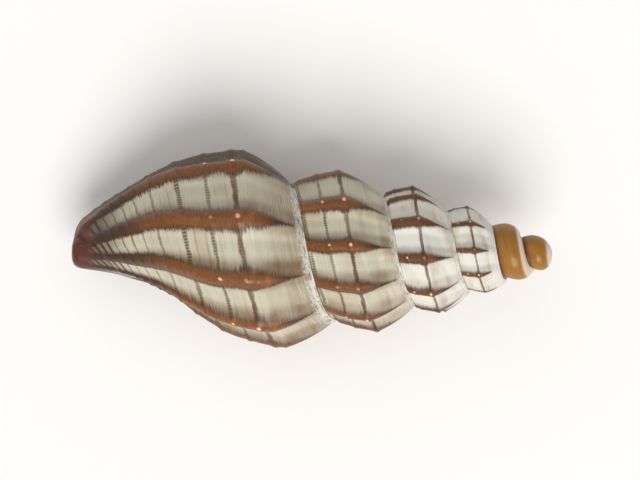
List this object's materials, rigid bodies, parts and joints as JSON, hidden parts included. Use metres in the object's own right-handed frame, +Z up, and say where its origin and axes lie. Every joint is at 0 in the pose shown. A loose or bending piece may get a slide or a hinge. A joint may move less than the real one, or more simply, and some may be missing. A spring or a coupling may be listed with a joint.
{
  "type": "pyrgocythara shell",
  "caption": "Small high-spired sea snail shell with sharp axial ribs, angled whorls, a smooth bud-like apex, a thick outer lip and a short open canal.",
  "frame": {"origin": "bottom centre of the shell's box, on the surface it lies on", "axes": "+X toward the apex, under the coiling axis, which rises by 5.5 degrees that way, +Y toward the outer lip, +Z up out of the shell's back"},
  "size_m": [0.0054, 0.0022, 0.0019],
  "materials": {
    "shell": "glossy natural shell, pale between brown ribs and spiral lines, amber apex"
  },
  "bodies": {
    "root": {"shell": "shell"}
  },
  "joints": []
}
